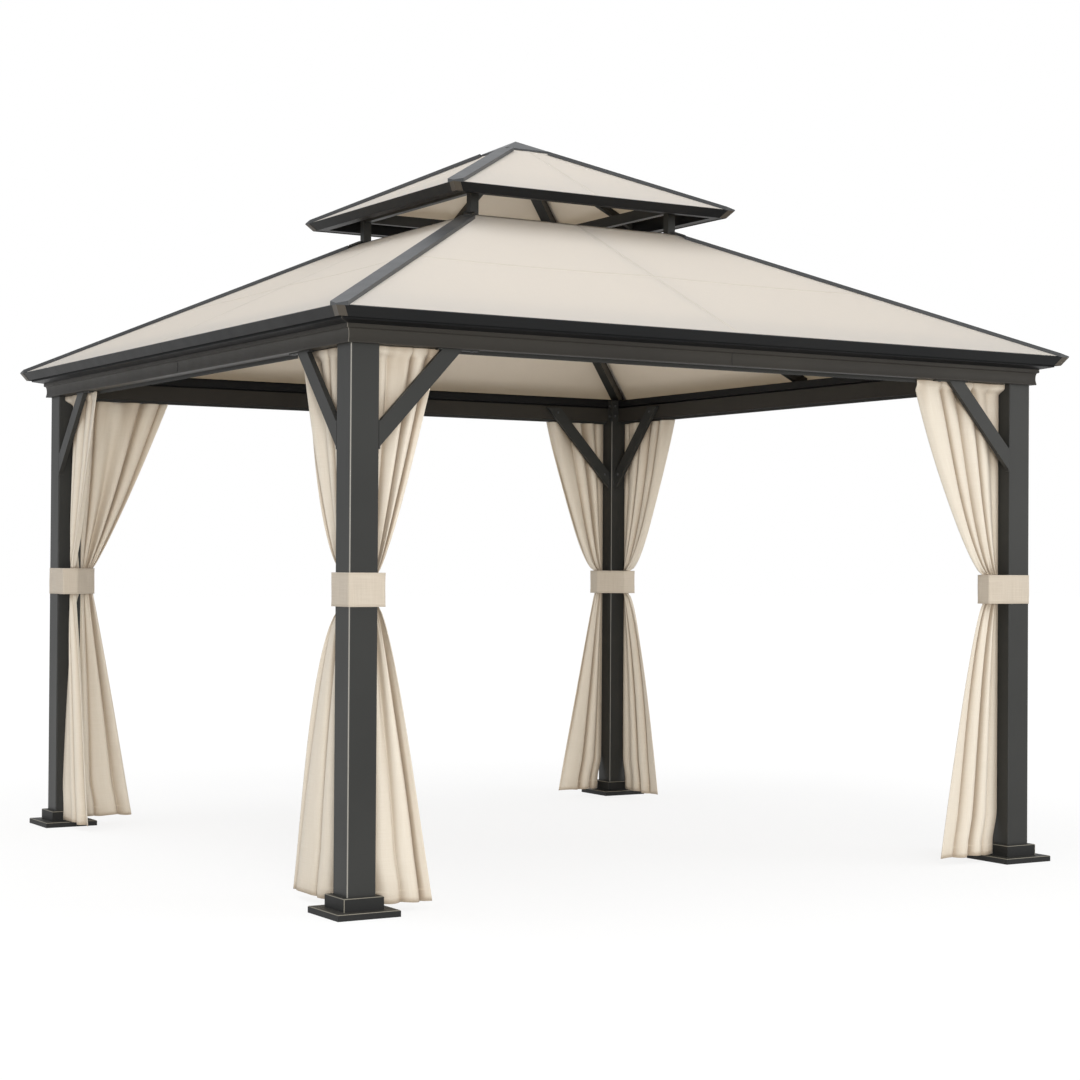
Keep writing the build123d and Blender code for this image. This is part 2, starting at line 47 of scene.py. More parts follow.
# Sizes shared by the pieces, in metres
POST_FACE = 1.565
POST = 0.110
CORNER_REACH = 0.0045
COLLAR_FACE = POST_FACE - POST / 2 + 0.0765
COVER_RIMS = (0.0219, 0.0669)
RAIL_BOTTOM = 1.958
HEADING = 1.9685
EAVE_HALF = 1.676
EAVE_TOP = 2.083
VENT_HALF = 0.505
VENT_TOP = 2.642
UPPER_HALF = 0.688
UPPER_EDGE = 2.735
PITCH = (VENT_TOP - EAVE_TOP) / (EAVE_HALF - VENT_HALF)
SLOPE = math.sqrt(1 + PITCH ** 2)
TIE_BOTTOM = 1.062
TIE_TOP = 1.182
TIE_HEIGHT = 0.120

# Outer faces of the members that carry a joint line: (half width, height) points
FASCIA_FACE = [(POST_FACE + 0.088, 2.049), (EAVE_HALF, EAVE_TOP)]
UPPER_FASCIA_FACE = [(0.661, 2.703), (UPPER_HALF, UPPER_EDGE)]
BEAM_FACE = [
    (POST_FACE + out, height) for out, height in (
        (0.020, 1.971), (0.0172, 1.995), (0.020, 2.017),
        (0.027, 2.020), (0.027, 2.032), (0.028, 2.034),
    )
]

# Seams of the covers: half widths of their ends, or of the seam itself where it crosses
LOWER_SEAM = (1.655, 0.515)
UPPER_SEAM = (0.672, 0.115)
CROSS_SEAM = 1.092
CROSS_SEAM_END = 0.03

# Screws: heights on the connector, then (reach, height) on the braces
CONNECTOR_SCREWS = (2.000, 2.052)
OUTER_BRACE_SCREW = (0.480, 1.965)
INNER_BRACE_SCREWS = ((0.432, 2.006), (0.140, 1.690))

# Folds of the curtains, as shares of a fold or in metres
FOLD_DRIFT = (0.05, 0.018)
FOLD_WANDER = 0.07
FOLD_LEAN = 0.45
FOLD_SIZES = (0.76, 0.24)
HOLLOW_ROUND = 0.045
HOLLOW_LEVEL = 0.212
HOLLOW_SPAN = 0.810
GATHER_SIZE = 0.30
GATHER_FADE = 0.14
EDGE_SIDE = 0.0205
EDGE_REACH = 0.03
EDGE_WRAP = 0.034
HEAD_START = 1.925
HEAD_RISE = 0.030
COLLAR_STEP = 0.023
COLLAR_HEIGHTS = (0.070, 0.210)

TURN = 2 * math.pi

Point = tuple[float, float, float]
Colour = tuple[float, float, float, float]


class Side(Enum):
    """A side of the gazebo, counted in quarter turns from the front right one."""

    FRONT_RIGHT = 0
    BACK_RIGHT = 1
    BACK_LEFT = 2
    FRONT_LEFT = 3


class Corner(Enum):
    """A post, counted in quarter turns from the front one."""

    FRONT = 0
    RIGHT = 1
    BACK = 2
    LEFT = 3


TIE_REACH = {Corner.FRONT: 0.138, Corner.RIGHT: 0.218, Corner.BACK: 0.168, Corner.LEFT: 0.190}


def srgb(red: int, green: int, blue: int) -> Colour:
    """Linear colour of an 8-bit sRGB one."""
    def linear(value: int) -> float:
        """Linear value of one channel."""
        share = value / 255
        return share / 12.92 if share <= 0.04045 else ((share + 0.055) / 1.055) ** 2.4
    return (linear(red), linear(green), linear(blue), 1.0)


class Wire:
    """A node's output socket on which arithmetic adds Math nodes."""

    def __init__(self, graph: "Graph", socket: bpy.types.NodeSocket) -> None:
        """Keep the graph and the socket."""
        self.graph = graph
        self.socket = socket

    def math(self, operation: str, *others: "float | Wire") -> "Wire":
        """Result of a Math node with this value first.

        Args:
            operation: the Math node's operation.
            others: the other values or wires.

        Returns:
            The node's output.
        """
        values = {i: value for i, value in enumerate((self, *others))}
        return self.graph.node("ShaderNodeMath", {"operation": operation}, values)

    def __add__(self, other: "float | Wire") -> "Wire":
        """Sum."""
        return self.math("ADD", other)

    def __radd__(self, other: float) -> "Wire":
        """Sum with a number in front."""
        return self.math("ADD", other)

    def __sub__(self, other: "float | Wire") -> "Wire":
        """Difference."""
        return self.math("SUBTRACT", other)

    def __rsub__(self, other: float) -> "Wire":
        """Difference from a number."""
        return self.graph.node("ShaderNodeMath", {"operation": "SUBTRACT"}, {0: other, 1: self})

    def __mul__(self, other: "float | Wire") -> "Wire":
        """Product."""
        return self.math("MULTIPLY", other)

    def __rmul__(self, other: float) -> "Wire":
        """Product with a number in front."""
        return self.math("MULTIPLY", other)

    def smooth(self, low: float, high: float) -> "Wire":
        """Rise from 0 to 1 between two values, or fall where low is above high."""
        settings = {"interpolation_type": "SMOOTHSTEP"}
        if low <= high:
            return self.graph.node("ShaderNodeMapRange", settings, {0: self, 1: low, 2: high})
        values = {0: self, 1: high, 2: low, 3: 1.0, 4: 0.0}
        return self.graph.node("ShaderNodeMapRange", settings, values)


class Graph:
    """Node tree of one material or world."""

    def __init__(self, owner: bpy.types.Material | bpy.types.World) -> None:
        """Start an empty tree."""
        self.owner = owner
        owner.use_nodes = True
        self.tree = owner.node_tree
        self.tree.nodes.clear()

    def node(
        self,
        kind: str,
        settings: dict | None = None,
        inputs: dict | None = None,
        output: int | str = 0,
    ) -> Wire | None:
        """Add a node.

        Args:
            kind: the node's type.
            settings: its properties, set first.
            inputs: values or wires by socket name or index.
            output: which output to return.

        Returns:
            The output as a wire, or None where the node has no output.
        """
        made = self.tree.nodes.new(kind)
        for key, value in (settings or {}).items():
            setattr(made, key, value)
        for key, value in (inputs or {}).items():
            socket = made.inputs[key]
            if isinstance(value, Wire):
                self.tree.links.new(value.socket, socket)
            else:
                socket.default_value = value
        return Wire(self, made.outputs[output]) if made.outputs else None

    def mix(self, share: "float | Wire", first: "Colour | Wire", second: "Colour | Wire") -> Wire:
        """Mix of two colours."""
        settings = {"data_type": "RGBA"}
        return self.node("ShaderNodeMix", settings, {0: share, 6: first, 7: second}, 2)

    def split(self, point: Wire) -> list[Wire]:
        """X, Y and Z of a vector."""
        made = self.tree.nodes.new("ShaderNodeSeparateXYZ")
        self.tree.links.new(point.socket, made.inputs[0])
        return [Wire(self, output) for output in made.outputs]

    def place(self) -> list[Wire]:
        """X, Y and Z of the shaded point in the object's own frame."""
        return self.split(self.node("ShaderNodeTexCoord", output="Object"))

    def noise(self, scale: float, detail: float = 3.0, stretch: Point | None = None) -> Wire:
        """Noise over the object's own frame.

        Args:
            scale: waves per metre.
            detail: octaves.
            stretch: scale along each axis, to draw the noise out.

        Returns:
            The noise's value.
        """
        point = self.node("ShaderNodeTexCoord", output="Object")
        if stretch is not None:
            point = self.node("ShaderNodeMapping", None, {0: point, 3: stretch})
        return self.node("ShaderNodeTexNoise", None, {0: point, "Scale": scale, "Detail": detail})

    def drawn_noise(self, place: Wire, stretch: Point, detail: float) -> Wire:
        """Noise over a UV map, drawn out by its scale in each direction."""
        spread = self.node("ShaderNodeMapping", None, {0: place, 3: stretch})
        values = {0: spread, "Scale": 1.0, "Detail": detail}
        return self.node("ShaderNodeTexNoise", None, values)

    def bump(self, height: Wire, strength: float, distance: float) -> Wire:
        """Normal raised by a height."""
        values = {"Height": height, "Strength": strength, "Distance": distance}
        return self.node("ShaderNodeBump", None, values)

    def finish(self, **inputs: "float | Colour | Wire") -> bpy.types.Material:
        """Feed the main shader and close the tree.

        Args:
            inputs: the shader's sockets, with _ for a space.

        Returns:
            The material.
        """
        named = {key.replace("_", " "): value for key, value in inputs.items()}
        shader = self.node("ShaderNodeBsdfPrincipled", None, named)
        self.close(shader)
        return self.owner

    def close(self, shader: Wire, kind: str = "ShaderNodeOutputMaterial") -> None:
        """Send a shader to the tree's output."""
        self.node(kind, None, {0: shader})


@dataclass(frozen=True)
class PowderCoat:
    """Dark powder coat on metal, with painted highlights along some of its edges.

    Attributes:
        name: the material's name.
        base: main colour.
        cloud: second colour, in slow patches.
        edge: colour of the painted highlights along the edges.
        roughness: mean roughness.
        gloss: level of the clear reflection.
    """

    name: str
    base: Colour
    cloud: Colour
    edge: Colour
    roughness: float = 0.42
    gloss: float = 0.22

    def material(self, edges: Callable[[Graph], Wire] | None = None) -> bpy.types.Material:
        """Build the material.

        Args:
            edges: gives the mask of the painted edge highlights, if the piece has them.

        Returns:
            The material.
        """
        graph = Graph(bpy.data.materials.new(self.name))
        patches = graph.noise(1.7, 4.0)
        grain = graph.noise(900.0, 2.0)
        wiped = graph.noise(14.0, 3.0, (1.0, 1.0, 0.2))
        colour = graph.mix(patches.smooth(0.3, 0.7), self.base, self.cloud)
        # Painted highlight: the masked edges are lightened towards the edge colour.
        if edges is not None:
            colour = graph.mix(edges(graph), colour, self.edge)
        rough = self.roughness + (wiped - 0.5) * 0.12 + (grain - 0.5) * 0.06
        return graph.finish(
            Base_Color=colour,
            Roughness=rough,
            Metallic=0.0,
            Specular_IOR_Level=self.gloss,
            Normal=graph.bump(grain, 0.22, 0.0004),
        )


@dataclass(frozen=True)
class Weave:
    """Plain woven cloth, laid out by its threads in the piece's UV map (in metres).

    Attributes:
        name: the material's name.
        pale: colour of the raised threads.
        deep: colour between them.
        stain: colour of slow patches.
        thread: distance between threads.
        slub: how strong the uneven long threads are.
        stitches: heights in the UV map with a stitched row.
        sheen: weight of the fibres' sheen.
        through: share of the light that passes through.
        glow: colour of that light.
        hollow_shade: strength of the painted shade in the cloth's hollows and in pockets just under
            the rail.
        shade: colour of that painted shade.
    """

    name: str
    pale: Colour
    deep: Colour
    stain: Colour
    thread: float = 0.0016
    slub: float = 0.5
    stitches: tuple[float, ...] = ()
    sheen: float = 0.12
    through: float = 0.16
    glow: Colour = (0.80, 0.71, 0.58, 1.0)
    hollow_shade: float = 0.0
    shade: Colour = (0.36, 0.255, 0.155, 1.0)

    def material(self) -> bpy.types.Material:
        """Build the material."""
        graph = Graph(bpy.data.materials.new(self.name))
        uv = graph.node("ShaderNodeUVMap", {"uv_map": "cloth"})
        across, along, _ = graph.split(uv)
        warp = (across * (TURN / self.thread)).math("SINE")
        weft = (along * (TURN / self.thread)).math("SINE")
        threads = (warp * weft) * 0.5 + 0.5
        long_slub = graph.drawn_noise(uv, (420.0, 9.0, 1.0), 2.0)
        cross_slub = graph.drawn_noise(uv, (9.0, 420.0, 1.0), 2.0)
        slub = (long_slub + cross_slub) * 0.5
        patches = graph.noise(2.6, 5.0)
        raised = threads * 0.25 + slub.smooth(0.36, 0.64) * self.slub
        colour = graph.mix(raised, self.deep, self.pale)
        colour = graph.mix(patches.smooth(0.45, 0.75) * 0.3, colour, self.stain)
        # Painted shade: the cloth is darkened towards the shade colour where ambient occlusion
        # finds it closed in, in its hollows and under the beam.
        if self.hollow_shade:
            settings = {"samples": 6}
            values = {"Distance": 0.12}
            open_sky = graph.node("ShaderNodeAmbientOcclusion", settings, values, "AO")
            colour = graph.mix(open_sky.smooth(0.94, 0.28) * self.hollow_shade, colour, self.shade)
            # Painted shade: darker pockets between the pleats just under the rail, drawn from
            # noise, not from geometry.
            pleat_shade_noise = graph.drawn_noise(uv, (17.0, 2.2, 1.0), 1.0)
            under = along.smooth(1.60, 1.95) * pleat_shade_noise.smooth(0.44, 0.66)
            colour = graph.mix(under * self.hollow_shade * 0.6, colour, self.shade)
        height = threads * 0.6 + slub * 0.8
        for place in self.stitches:
            near = (along - place).math("ABSOLUTE")
            dash = (across * (TURN / 0.006)).math("SINE").smooth(-0.3, 0.2)
            row = near.smooth(0.0016, 0.0007)
            channel = near.smooth(0.006, 0.0)
            colour = graph.mix(row * dash * 0.5 + channel * 0.36, colour, self.deep)
            height = height - channel * 1.4 + row * dash * 1.2
        normal = graph.bump(height, 0.3, 0.0005)
        cloth = graph.node("ShaderNodeBsdfPrincipled", None, {
            "Base Color": colour, "Roughness": 0.86, "Sheen Weight": self.sheen, "Normal": normal,
        })
        values = {"Color": self.glow, "Normal": normal}
        light = graph.node("ShaderNodeBsdfTranslucent", None, values)
        both = {0: self.through, 1: cloth, 2: light}
        graph.close(graph.node("ShaderNodeMixShader", None, both))
        return graph.owner


def post_corner_highlights(graph: Graph) -> Wire:
    """Mask of the painted highlights on the posts' outermost and innermost upright edges."""
    x, y, _ = graph.place()
    reach, inside = CORNER_REACH, POST_FACE - POST
    parts = [part.math("ABSOLUTE") for part in (x, y)]
    outer = [part.smooth(POST_FACE - reach, POST_FACE - reach * 0.5) for part in parts]
    inner = [part.smooth(inside + reach * 0.8, inside + reach * 0.4) for part in parts]
    return (outer[0] * outer[1] * 0.9).math("MAXIMUM", inner[0] * inner[1] * 0.6)


def cover_edge_highlights(graph: Graph) -> Wire:
    """Mask of the painted highlights on the base covers' chamfers and the collars' outer upright
    edges.
    """
    x, y, z = graph.place()
    low, high = [(z - rim).math("ABSOLUTE").smooth(0.0012, 0.0006) for rim in COVER_RIMS]
    from_edge = [(part.math("ABSOLUTE") - COLLAR_FACE).math("ABSOLUTE") for part in (x, y)]
    upright = [part.smooth(0.003, 0.0015) for part in from_edge]
    return low.math("MAXIMUM", high).math("MAXIMUM", upright[0] * upright[1]) * 0.8


def below(height: float, graph: Graph) -> Wire:
    """Mask of everything under a height, where the hip caps get their painted highlight."""
    return graph.place()[2].smooth(height, height - 0.002)


def mitre_highlights(reach: float, graph: Graph) -> Wire:
    """Mask of the painted highlights along the four mitred corners of the plan."""
    x, y, _ = graph.place()
    gap = (x.math("ABSOLUTE") - y.math("ABSOLUTE")).math("ABSOLUTE")
    return gap.smooth(reach, reach * 0.4) * 0.7


def eased(share: float) -> float:
    """Smooth rise from 0 to 1, level outside."""
    share = min(max(share, 0.0), 1.0)
    return share * share * (3 - 2 * share)


def turned(point: Point, turns: int) -> Point:
    """A point turned by quarter turns about the upright axis."""
    x, y, z = point
    for _ in range(turns % 4):
        x, y = -y, x
    return (x, y, z)


def lower_roof(half: float) -> float:
    """Height of the lower tier's top face at a half width."""
    return EAVE_TOP + (EAVE_HALF - half) * PITCH


def upper_roof(half: float) -> float:
    """Height of the upper tier's top face at a half width."""
    return UPPER_EDGE + (UPPER_HALF - half) * PITCH


def mesh_object(
    name: str, vertices: list[Point], faces: list[tuple[int, ...]], finish: bpy.types.Material
) -> bpy.types.Object:
    """Make an object from a mesh and link it to the scene.

    Args:
        name: its name.
        vertices: its points.
        faces: the points' numbers of each face.
        finish: its material.

    Returns:
        The object.
    """
    mesh = bpy.data.meshes.new(name)
    mesh.from_pydata(vertices, [], faces)
    mesh.materials.append(finish)
    made = bpy.data.objects.new(name, mesh)
    bpy.context.scene.collection.objects.link(made)
    return made


@dataclass
class Grid:
    """A rectangular mesh of points with a UV map in metres.

    Attributes:
        name: the piece's name.
        points: rows of points, from bottom to top.
        uv: UV of each point.
        closed: the rows join at their ends.
    """

    name: str
    points: np.ndarray
    uv: np.ndarray
    closed: bool = False

    def build(self, material: bpy.types.Material) -> bpy.types.Object:
        """Make the object.

        Args:
            material: its finish.

        Returns:
            The object, shaded smooth.
        """
        rows, columns, _ = self.points.shape
        steps = columns if self.closed else columns - 1
        index = np.arange(rows * columns).reshape(rows, columns)
        faces = []
        corners = []
        for row in range(rows - 1):
            for column in range(steps):
                after = (column + 1) % columns
                square = ((row, column), (row, after), (row + 1, after), (row + 1, column))
                faces.append(tuple(int(index[place]) for place in square))
                corners.append(
                    ((row, column), (row, column + 1), (row + 1, column + 1), (row + 1, column))
                )
        made = mesh_object(self.name, self.points.reshape(-1, 3).tolist(), faces, material)
        layer = made.data.uv_layers.new(name="cloth")
        flat = [self.uv[row, column] for quad in corners for row, column in quad]
        layer.data.foreach_set("uv", np.array(flat, np.float32).ravel())
        made.data.shade_smooth()
        return made


def thicken(piece: bpy.types.Object, thickness: float, group: str | None = None) -> None:
    """Give a sheet its thickness and apply it.

    Args:
        piece: the sheet.
        thickness: full thickness in metres.
        group: vertex group that scales it, such as a doubled hem.
    """
    solid = piece.modifiers.new("cloth", "SOLIDIFY")
    solid.thickness = thickness
    solid.offset = 0.0
    if group is not None:
        solid.vertex_group = group
        solid.thickness_vertex_group = 0.45
    bake_modifiers(piece)


def bake_modifiers(piece: bpy.types.Object) -> None:
    """Replace a piece's mesh with its modified one."""
    graph = bpy.context.evaluated_depsgraph_get()
    made = bpy.data.meshes.new_from_object(piece.evaluated_get(graph))
    piece.modifiers.clear()
    piece.data = made


def place_piece(piece: bpy.types.Object) -> bpy.types.Object:
    """Hang a piece on the frame."""
    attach(piece, "root")
    LOG.info("%s: %d faces", piece.name, len(piece.data.polygons))
    return piece


@dataclass
class Canopy:
    """One sewn cover of a roof tier, stretched over its rafters.

    Attributes:
        name: the piece's name.
        roof: height of the tier's top face at a half width.
        outer: half width at the eave.
        inner: half width at the top.
        nodes: the nodes that it stands for.
        rests: the nodes that it lies on; not used.
        sag: how far it hangs between two supports.
        steps: points along each side.
        rows: rows from the eave to the top.
        thickness: of the cloth.
    """

    name: str
    roof: Callable[[float], float]
    outer: float
    inner: float
    nodes: list[str]
    rests: list[str]
    sag: float = 0.006
    steps: int = 56
    rows: int = 60
    thickness: float = 0.0016

    def height(self, side: int, across: np.ndarray, along: float, half: float) -> np.ndarray:
        """Height of the cloth on a side.

        Args:
            side: quarter turns.
            across: places from -1 to 1 along the side.
            along: 0 at the eave to 1 at the top.
            half: half width there.

        Returns:
            The heights.
        """
        bays = np.abs(np.sin(math.pi * across))
        belly = self.sag * bays ** 0.8 * math.sin(math.pi * along) ** 0.7
        to_hip = (1 - np.abs(across)) * half
        pull = np.exp(-to_hip / 0.10) * np.sin(TURN * (half * 9.0 + side * 0.3))
        eave = math.exp(-along / 0.05) * np.sin(TURN * (across * 11.0 + side * 0.37))
        top = math.exp(-(1 - along) / 0.06) * np.sin(TURN * (across * 5.0 + side * 0.21))
        puckers = 0.0009 * pull * math.sin(math.pi * along)
        puckers = puckers + 0.0007 * eave * bays + 0.0006 * top * bays
        return self.roof(half) - 0.0012 - belly - np.abs(puckers)

    def build(self, finish: bpy.types.Material) -> bpy.types.Object:
        points = []
        uv = []
        for row in range(self.rows + 1):
            along = row / self.rows
            half = self.outer + (self.inner - self.outer) * along
            ring = []
            ring_uv = []
            for side in range(4):
                across = np.linspace(-1, 1, self.steps, endpoint=False)
                heights = self.height(side, across, along, half)
                for share, height in zip(across, heights):
                    ring.append(turned((share * half, -half, float(height)), side))
                    ring_uv.append((side * 4.0 + share * half, (self.outer - half) * SLOPE))
            points.append(ring)
            uv.append(ring_uv + [ring_uv[-1]])
        grid = Grid(self.name, np.array(points), np.array(uv), closed=True)
        piece = grid.build(finish)
        thicken(piece, self.thickness)
        place_piece(piece)
        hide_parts(*self.nodes)
        return piece

    def seam(
        self,
        name: str,
        start: tuple[float, float],
        end: tuple[float, float],
        side: int,
        finish: bpy.types.Material,
        width: float,
    ) -> bpy.types.Object:
        """Sewn tape along a line on one side of the cover.

        Args:
            name: the piece's name.
            start: (place along the side, half width) of one end, in metres.
            end: the same of the other end.
            side: quarter turns.
            finish: its cloth.
            width: the tape's width.

        Returns:
            The tape.
        """
        count = 48
        run = np.array([end[0] - start[0], (start[1] - end[1]) * SLOPE])
        normal = np.array([-run[1], run[0]]) / np.linalg.norm(run) * width / 2
        points = []
        uv = []
        for edge in (-1, 1):
            row = []
            row_uv = []
            for step in range(count + 1):
                share = step / count
                lateral = start[0] + (end[0] - start[0]) * share + edge * normal[0]
                half = start[1] + (end[1] - start[1]) * share - edge * normal[1] / SLOPE
                along = (half - self.outer) / (self.inner - self.outer)
                place = np.array([lateral / half])
                height = float(self.height(side, place, min(max(along, 0.0), 1.0), half)[0])
                row.append(turned((lateral, -half, height + 0.0011), side))
                row_uv.append((share * float(np.linalg.norm(run)), edge * width / 2))
            points.append(row)
            uv.append(row_uv)
        piece = Grid(name, np.array(points), np.array(uv)).build(finish)
        thicken(piece, 0.0006)
        return place_piece(piece)


@dataclass
class Curtain:
    """One curtain hung beside a post, tied to it and falling open to its hem.

    Attributes:
        side: the side it hangs on.
        corner: the post that it is tied to.
        top_reach: how far it goes along the rail from the post's outer face.
        hem_reach: the same at the hem.
        folds: number of large folds at the rail.
        hem_folds: the same at the hem.
        seed: shifts the folds.
        top_curve: power of the free edge's curve over the tie, where 1 is straight.
        hem_curve: the same below the tie.
        seen: 1 where the rounded folds face outward, -1 where they face inward.
        hem: height of its lower edge.
        depth: distance of its middle behind the post's outer face.
        fold_depth: half the depth of a full fold.
        thickness: of the single cloth, which doubles at the hems.
        columns: points across it.
        rows: rows of points above and below the tie band.
    """

    side: Side
    corner: Corner
    top_reach: float
    hem_reach: float
    folds: float = 4.0
    hem_folds: float = 2.6
    seed: float = 0.0
    top_curve: float = 0.8
    hem_curve: float = 0.8
    seen: int = 1
    hem: float = 0.027
    depth: float = 0.046
    fold_depth: float = 0.0215
    thickness: float = 0.0014
    columns: int = 150
    rows: int = 55

    @property
    def name(self) -> str:
        """Name of the node that it stands for."""
        return f"curtain_{self.side.name.lower()}_at_{self.corner.name.lower()}_post"

    @property
    def tie_reach(self) -> float:
        """Reach of the gathered cloth inside the tie band."""
        return TIE_REACH[self.corner] - 0.002

    @property
    def top(self) -> float:
        """Height of its top edge, which covers the rail where the outside is seen."""
        return HEADING if self.seen > 0 else RAIL_BOTTOM

    @property
    def post_side(self) -> float:
        """How far outward the edge beside the post lies: at the back post on the outer side."""
        return EDGE_SIDE if self.corner is Corner.BACK else -EDGE_SIDE

    def away(self, z: float) -> float:
        """Share of the way from the tie band to the rail or to the hem."""
        above = (z - TIE_TOP) / (RAIL_BOTTOM - TIE_TOP)
        below = (TIE_BOTTOM - z) / (TIE_BOTTOM - self.hem)
        return min(max(above, below, 0.0), 1.0)

    def free_edge(self, z: float) -> float:
        """Reach of the free edge at a height."""
        if z >= TIE_TOP:
            reach, curve = self.top_reach, self.top_curve
        else:
            reach, curve = self.hem_reach, self.hem_curve
        return self.tie_reach + (reach - self.tie_reach) * self.away(z) ** curve

    def post_edge(self, z: float) -> float:
        """Reach of the edge beside the post, which steps out over the collar."""
        low, high = COLLAR_HEIGHTS
        return POST + 0.0015 + COLLAR_STEP * eased((high - z) / (high - low))

    def edge_out(self, z: float) -> float:
        """How far outward of the cloth's middle the edge beside the post lies."""
        if self.side is Side.FRONT_LEFT and self.corner is Corner.LEFT and z < TIE_BOTTOM:
            return self.post_side + 2 * EDGE_SIDE * self.away(z) ** 0.5
        return self.post_side

    def drifted(self, across: float, away: float) -> float:
        """Place across the cloth, shifted so that the folds differ in width."""
        broad, fine = FOLD_DRIFT
        place = across + broad * math.sin(TURN * (across * 1.2 + self.seed)) * (0.4 + 0.6 * away)
        return place + fine * math.sin(TURN * (across * 2.7 + self.seed * 2.3 + away * 0.25))

    def point(self, across: float, z: float) -> tuple[float, float]:
        """Place of a point of the cloth.

        Args:
            across: 0 at the post to 1 at the free edge.
            z: height.

        Returns:
            Reach along the side and depth behind the post's outer face.
        """
        near, far = self.post_edge(z), self.free_edge(z)
        width = far - near
        away = self.away(z)
        place = self.drifted(across, away)
        share = min(max((z - TIE_BOTTOM) / (TIE_TOP - TIE_BOTTOM), 0.0), 1.0)
        folds = self.hem_folds + (self.folds - self.hem_folds) * share
        wander = FOLD_WANDER * math.sin(TURN * (away * 0.7 + self.seed * 1.7))
        phase = TURN * (folds * place + wander + self.seed)
        rounded = math.sqrt(math.sin(phase / 2) ** 2 + HOLLOW_ROUND)
        crest = 2 * (rounded - HOLLOW_LEVEL) / HOLLOW_SPAN - 1
        near_tie = math.exp(-away / GATHER_FADE)
        gathers = math.sin(phase * 2.5 + self.seed * 5) * near_tie * GATHER_SIZE
        mean, swing = FOLD_SIZES
        beat = math.cos(TURN * (place * folds * 0.37 + self.seed))
        size = self.fold_depth * (mean + swing * beat)
        out = self.seen * size * (crest * (0.97 - 0.27 * near_tie) + gathers)
        beside = math.exp(-across * width / EDGE_REACH)
        out += (self.edge_out(z) - out) * beside
        if self.corner is Corner.LEFT:
            out -= EDGE_WRAP * beside * math.exp(-away / 0.4)
        if self.seen > 0:
            out += (0.0105 + 0.004 * (crest + 1) - out) * eased((z - HEAD_START) / HEAD_RISE)
        lean = -width / (folds * TURN) * FOLD_LEAN * math.sin(phase)
        edge_fade = min(across, 1 - across, 0.06) / 0.06
        return near + width * across + lean * edge_fade, self.depth - out

    def build(self, finish: bpy.types.Material) -> bpy.types.Object:
        levels = np.concatenate([
            np.linspace(self.hem, TIE_BOTTOM, self.rows, endpoint=False),
            np.linspace(TIE_BOTTOM, TIE_TOP, 8, endpoint=False),
            np.linspace(TIE_TOP, HEAD_START, self.rows, endpoint=False),
            np.linspace(HEAD_START, self.top, 12),
        ])
        ends = (self.side.value - self.corner.value) % 4 != 0
        points = []
        uv = []
        for z in levels:
            row = []
            row_uv = []
            for column in range(self.columns):
                across = column / (self.columns - 1)
                lift = 0.0
                if z < TIE_BOTTOM:
                    waves = 1 + math.sin(TURN * (across * 2.1 + self.seed))
                    lift = 0.002 * self.away(float(z)) ** 4 * waves
                reach, depth = self.point(across, float(z))
                start = (-POST_FACE + reach, -POST_FACE + depth, float(z) + lift)
                if ends:
                    start = (-start[0], start[1], start[2])
                row.append(turned(start, self.side.value))
                row_uv.append((across, float(z) - self.hem))
            points.append(row)
            uv.append(row_uv)
        cloth = np.array(points)
        width = float(np.linalg.norm(np.diff(cloth, axis=1), axis=2).sum(1).mean())
        piece = Grid(self.name, cloth, np.array(uv) * (width, 1.0)).build(finish)
        hems = piece.vertex_groups.new(name="hems")
        for row, z in enumerate(levels):
            doubled = z < self.hem + 0.045 or z > self.top - 0.03
            for column in range(self.columns):
                side_hem = min(column, self.columns - 1 - column) <= 3
                if doubled or side_hem:
                    hems.add([row * self.columns + column], 1.0, "REPLACE")
        thicken(piece, self.thickness * 2.1, "hems")
        piece.name = f"{self.name}_cloth"
        place_piece(piece)
        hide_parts(self.name)
        flat = (round(width, 3), self.top - self.hem)
        LOG.info("%s: flat width %.3f m", piece.name, width)
        return piece


